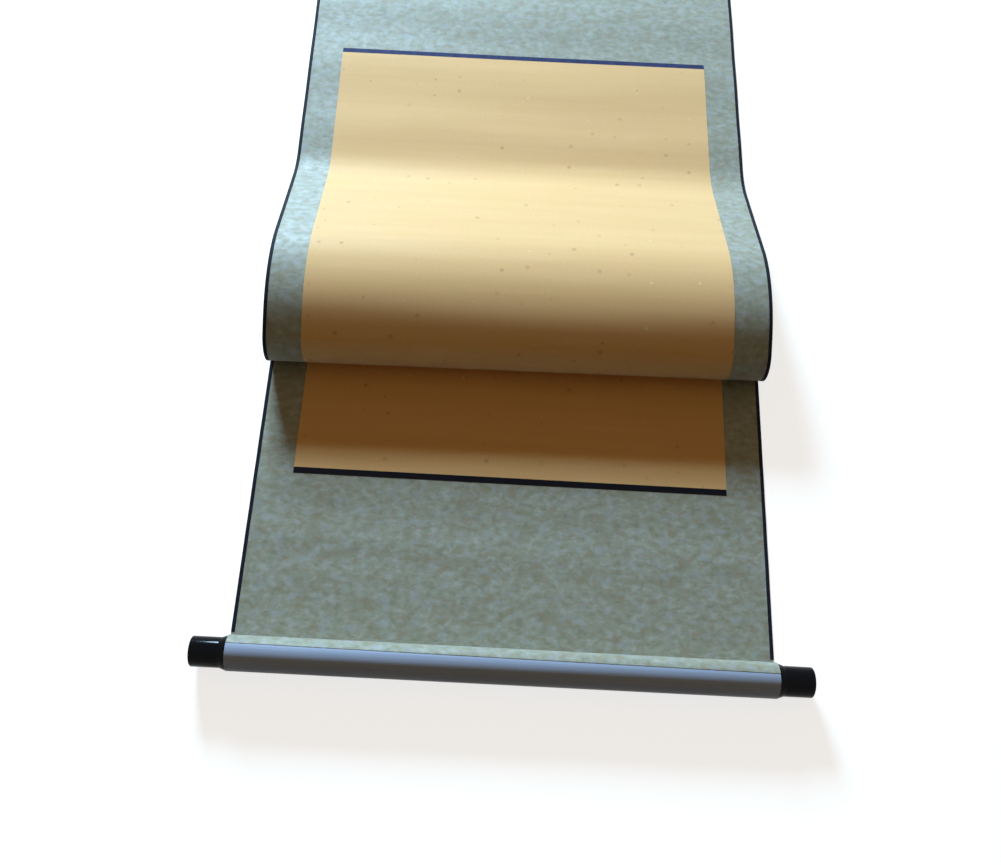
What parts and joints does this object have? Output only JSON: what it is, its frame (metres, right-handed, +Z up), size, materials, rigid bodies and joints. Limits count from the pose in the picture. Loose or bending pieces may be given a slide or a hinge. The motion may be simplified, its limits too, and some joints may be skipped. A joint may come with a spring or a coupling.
{
  "type": "hanging paper scroll",
  "caption": "Blank hanging paper scroll laid face up with a loose S-fold, a capped roller at its foot and a stave with cord eyelets at its head.",
  "frame": {"origin": "on the table, under the middle of the scroll's bounding box", "axes": "+X along the roller to the right, +Y along the sheet from the roller to the stave, +Z up from the table"},
  "size_m": [0.446, 0.8422, 0.0532],
  "materials": {
    "mount_paper": "matte mottled paper",
    "heart_paper": "matte flecked paper",
    "lower_strip": "matte",
    "upper_strip": "matte",
    "edge_binding": "matte",
    "roller_tube": "satin silver grey",
    "wrap_paper": "matte mottled paper",
    "roller_cap": "gloss black",
    "stave_wood": "bare cut ends",
    "eyelet": "plain brass"
  },
  "bodies": {
    "root": {"mount_sheet": "mount_paper", "heart_paper": "heart_paper", "lower_strip": "lower_strip", "upper_strip": "upper_strip", "edge_binding_left": "edge_binding", "edge_binding_right": "edge_binding", "roller_tube": "roller_tube", "roller_wrap": "wrap_paper", "roller_cap_left": "roller_cap", "roller_cap_right": "roller_cap", "top_stave": "stave_wood", "stave_wrap": "wrap_paper", "eyelet_left": "eyelet", "eyelet_right": "eyelet"}
  },
  "joints": []
}
